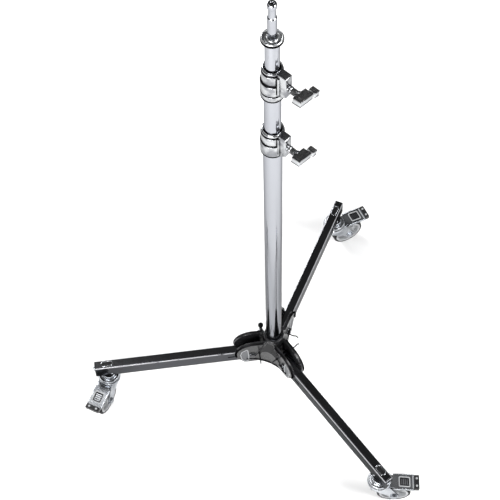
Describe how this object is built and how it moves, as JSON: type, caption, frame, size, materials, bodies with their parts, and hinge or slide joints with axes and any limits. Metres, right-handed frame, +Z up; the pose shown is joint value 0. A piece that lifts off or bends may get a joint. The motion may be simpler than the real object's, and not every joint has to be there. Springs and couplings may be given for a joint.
{
  "type": "roller stand",
  "caption": "Wheeled equipment stand: sectioned chromed column with clamped risers and a stud on top, on folding black legs with braked swivel casters.",
  "frame": {"origin": "on the floor under the column's axis", "axes": "+Z up along the column; -X along one leg, the others 120 degrees apart"},
  "size_m": [0.7124, 0.7244, 1.355],
  "materials": {
    "chrome_tube": "polished chrome plate",
    "bright_casting": "satin chromed casting",
    "dark_casting": "dark satin coated casting",
    "black_casting": "black coated casting",
    "black_gloss": "gloss black enamel",
    "zinc_steel": "bright zinc plate",
    "dark_steel": "blackened steel",
    "grey_plastic": "pale grey moulded plastic",
    "black_plastic": "black moulded plastic",
    "black_rubber": "dark rubber"
  },
  "bodies": {
    "base": {"hub": "black_casting", "foot_plug": "black_plastic", "hub_set_screws": "dark_steel", "leg_pivot_bolts": "dark_steel", "leg_pivot_nuts": "dark_steel", "base_tube": "chrome_tube", "lower_collar": "bright_casting", "lower_guide_ring": "black_plastic", "lower_brake_pad": "black_plastic"},
    "middle_bush": {"middle_guide": "black_plastic"},
    "middle_riser": {"middle_tube": "chrome_tube", "upper_collar": "bright_casting", "upper_guide_ring": "black_plastic", "upper_brake_pad": "black_plastic"},
    "hub_lock": {"lock_plunger": "dark_steel"},
    "top_bush": {"top_guide": "black_plastic"},
    "top_riser": {"top_tube": "chrome_tube", "stud_socket": "bright_casting", "stud": "chrome_tube"},
    "lower_clamp": {"lower_clamp_screw": "zinc_steel", "lower_clamp_handle": "dark_casting"},
    "upper_clamp": {"upper_clamp_screw": "zinc_steel", "upper_clamp_handle": "dark_casting"},
    "left_leg": {"left_leg_tube": "black_gloss", "left_heel_block": "black_plastic", "left_end_cap": "black_plastic", "left_cap_screw": "zinc_steel", "left_oval_plug": "black_plastic", "left_swivel_race": "zinc_steel"},
    "left_caster": {"left_fork": "zinc_steel", "left_axle": "zinc_steel"},
    "left_wheel_set": {"left_wheel": "grey_plastic", "left_tyre": "black_rubber"},
    "left_brake": {"left_brake_plate": "zinc_steel"},
    "left_pin": {"left_leg_pin": "dark_steel"},
    "front_leg": {"front_leg_tube": "black_gloss", "front_heel_block": "black_plastic", "front_end_cap": "black_plastic", "front_cap_screw": "zinc_steel", "front_oval_plug": "black_plastic", "front_swivel_race": "zinc_steel"},
    "front_caster": {"front_fork": "zinc_steel", "front_axle": "zinc_steel"},
    "front_wheel_set": {"front_wheel": "grey_plastic", "front_tyre": "black_rubber"},
    "front_brake": {"front_brake_plate": "zinc_steel"},
    "front_pin": {"front_leg_pin": "dark_steel"},
    "back_leg": {"back_leg_tube": "black_gloss", "back_heel_block": "black_plastic", "back_end_cap": "black_plastic", "back_cap_screw": "zinc_steel", "back_oval_plug": "black_plastic", "back_swivel_race": "zinc_steel"},
    "back_caster": {"back_fork": "zinc_steel", "back_axle": "zinc_steel"},
    "back_wheel_set": {"back_wheel": "grey_plastic", "back_tyre": "black_rubber"},
    "back_brake": {"back_brake_plate": "zinc_steel"},
    "back_pin": {"back_leg_pin": "dark_steel"}
  },
  "joints": [
    {"name": "middle_riser_slide", "type": "slide", "parent": "base", "child": "middle_bush", "axis": [0, 0, 1], "range_m": [0, 0.72]},
    {"name": "middle_riser_turn", "type": "hinge", "parent": "middle_bush", "child": "middle_riser", "pos_m": [0, 0, 0.154], "axis": [0, 0, 1], "continuous": true},
    {"name": "top_riser_slide", "type": "slide", "parent": "middle_riser", "child": "top_bush", "axis": [0, 0, 1], "range_m": [0, 0.8]},
    {"name": "top_riser_turn", "type": "hinge", "parent": "top_bush", "child": "top_riser", "pos_m": [0, 0, 0.198], "axis": [0, 0, 1], "continuous": true},
    {"name": "lower_clamp_turn", "type": "hinge", "parent": "base", "child": "lower_clamp", "pos_m": [0, 0, 0.987], "axis": [0.6652, -0.7466, 0], "range_deg": [0, 360]},
    {"name": "upper_clamp_turn", "type": "hinge", "parent": "middle_riser", "child": "upper_clamp", "pos_m": [0, 0, 1.164], "axis": [0.6652, -0.7466, 0], "range_deg": [0, 360]},
    {"name": "hub_lock_pull", "type": "slide", "parent": "base", "child": "hub_lock", "axis": [0, 0, 1], "range_m": [0, 0.006], "stiffness_N_per_m": 800},
    {"name": "left_leg_fold", "type": "hinge", "parent": "base", "child": "left_leg", "pos_m": [-0.05, 0, 0.138], "axis": [0, 1, 0], "range_deg": [0, 90]},
    {"name": "left_pin_pull", "type": "slide", "parent": "base", "child": "left_pin", "axis": [0, -1, 0], "range_m": [0, 0.01], "stiffness_N_per_m": 300},
    {"name": "left_caster_swivel", "type": "hinge", "parent": "left_leg", "child": "left_caster", "pos_m": [-0.376, 0, 0.1], "axis": [0, 0, 1], "continuous": true},
    {"name": "left_wheel_roll", "type": "hinge", "parent": "left_caster", "child": "left_wheel_set", "pos_m": [-0.39455, -0.02968, 0.0375], "axis": [0.848, -0.5299, 0], "continuous": true},
    {"name": "left_brake_press", "type": "hinge", "parent": "left_caster", "child": "left_brake", "pos_m": [-0.3866, -0.01696, 0.079], "axis": [0.848, -0.5299, 0], "range_deg": [0, 5]},
    {"name": "front_leg_fold", "type": "hinge", "parent": "base", "child": "front_leg", "pos_m": [0.025, -0.0433, 0.138], "axis": [-0.866, -0.5, 0], "range_deg": [0, 90]},
    {"name": "front_pin_pull", "type": "slide", "parent": "base", "child": "front_pin", "axis": [0.866, 0.5, 0], "range_m": [0, 0.01], "stiffness_N_per_m": 300},
    {"name": "front_caster_swivel", "type": "hinge", "parent": "front_leg", "child": "front_caster", "pos_m": [0.188, -0.32563, 0.1], "axis": [0, 0, 1], "continuous": true},
    {"name": "front_wheel_roll", "type": "hinge", "parent": "front_caster", "child": "front_wheel_set", "pos_m": [0.22263, -0.33068, 0.0375], "axis": [0.1444, 0.9895, 0], "continuous": true},
    {"name": "front_brake_press", "type": "hinge", "parent": "front_caster", "child": "front_brake", "pos_m": [0.20779, -0.32851, 0.079], "axis": [0.1444, 0.9895, 0], "range_deg": [0, 5]},
    {"name": "back_leg_fold", "type": "hinge", "parent": "base", "child": "back_leg", "pos_m": [0.025, 0.0433, 0.138], "axis": [0.866, -0.5, 0], "range_deg": [0, 90]},
    {"name": "back_pin_pull", "type": "slide", "parent": "base", "child": "back_pin", "axis": [0.866, -0.5, 0], "range_m": [0, 0.01], "stiffness_N_per_m": 300},
    {"name": "back_caster_swivel", "type": "hinge", "parent": "back_leg", "child": "back_caster", "pos_m": [0.188, 0.32563, 0.1], "axis": [0, 0, 1], "continuous": true},
    {"name": "back_wheel_roll", "type": "hinge", "parent": "back_caster", "child": "back_wheel_set", "pos_m": [0.22089, 0.3376, 0.0375], "axis": [-0.342, 0.9397, 0], "continuous": true},
    {"name": "back_brake_press", "type": "hinge", "parent": "back_caster", "child": "back_brake", "pos_m": [0.20679, 0.33247, 0.079], "axis": [-0.342, 0.9397, 0], "range_deg": [0, 5]}
  ]
}
